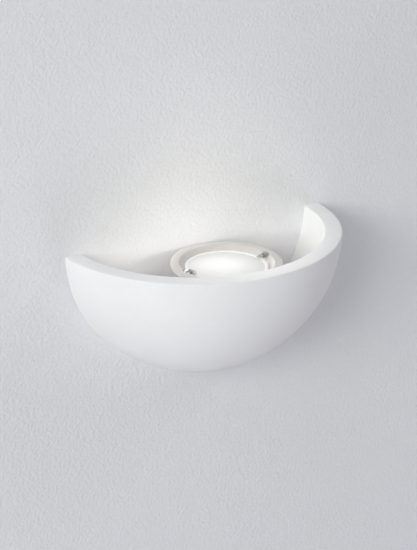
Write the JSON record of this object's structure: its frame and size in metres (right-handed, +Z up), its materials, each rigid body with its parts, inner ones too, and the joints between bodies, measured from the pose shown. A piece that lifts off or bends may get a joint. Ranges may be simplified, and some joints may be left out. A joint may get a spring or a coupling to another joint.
{
  "type": "uplighter wall sconce",
  "caption": "Quarter-sphere plaster bowl open at the top, hung on a round LED lamp unit and a folded steel wall bracket; washes light up the wall.",
  "frame": {"origin": "on the wall face, midway between the two wall-screw slots, at the cable entry", "axes": "+Y into the wall, -Y out into the room, +Z up, +X along the wall to the right when facing it"},
  "size_m": [0.2598, 0.1259, 0.1259],
  "materials": {
    "plaster": "matte",
    "brass": "satin",
    "plated_steel": "satin",
    "painted_casting": "satin",
    "painted_ring": "satin",
    "painted_steel": "satin",
    "thermal_pad": "matte",
    "board": "satin",
    "led": "gloss",
    "connector": "gloss",
    "reflector": "polished",
    "silicone": "matte",
    "frosted_glass": "matte",
    "bush_rubber": "matte",
    "terminal_nylon": "matte",
    "driver_plastic": "matte",
    "lead_brown": "matte",
    "lead_blue": "matte",
    "lead_green": "matte",
    "lead_red": "matte",
    "lead_black": "matte"
  },
  "bodies": {
    "lamp_and_bracket": {"lamp_housing": "painted_casting", "thermal_pad": "thermal_pad", "led_board": "board", "led_emitters": "led", "board_screws": "plated_steel", "board_connector": "connector", "reflector": "reflector", "lens_gasket": "silicone", "glass_lens": "frosted_glass", "clamp_ring": "painted_ring", "ring_washers": "plated_steel", "ring_screws": "plated_steel", "wall_bracket": "painted_steel", "cable_bush": "bush_rubber", "shelf_bush": "bush_rubber", "housing_screws": "plated_steel", "terminal_block": "terminal_nylon", "terminal_contacts": "brass", "terminal_screws": "plated_steel", "terminal_fixings": "plated_steel", "earth_screw": "plated_steel", "earth_tag": "plated_steel", "driver_case": "driver_plastic", "driver_lid": "driver_plastic", "driver_screws": "plated_steel", "live_lead": "lead_brown", "neutral_lead": "lead_blue", "earth_lead": "lead_green", "led_lead_plus": "lead_red", "led_lead_minus": "lead_black"},
    "bowl": {"plaster_bowl": "plaster", "bowl_inserts": "brass", "bowl_screws": "plated_steel", "bowl_washers": "plated_steel"}
  },
  "joints": [
    {"name": "bowl_pull_off", "type": "slide", "parent": "lamp_and_bracket", "child": "bowl", "axis": [0, -1, 0], "range_m": [0, 0.14]}
  ]
}
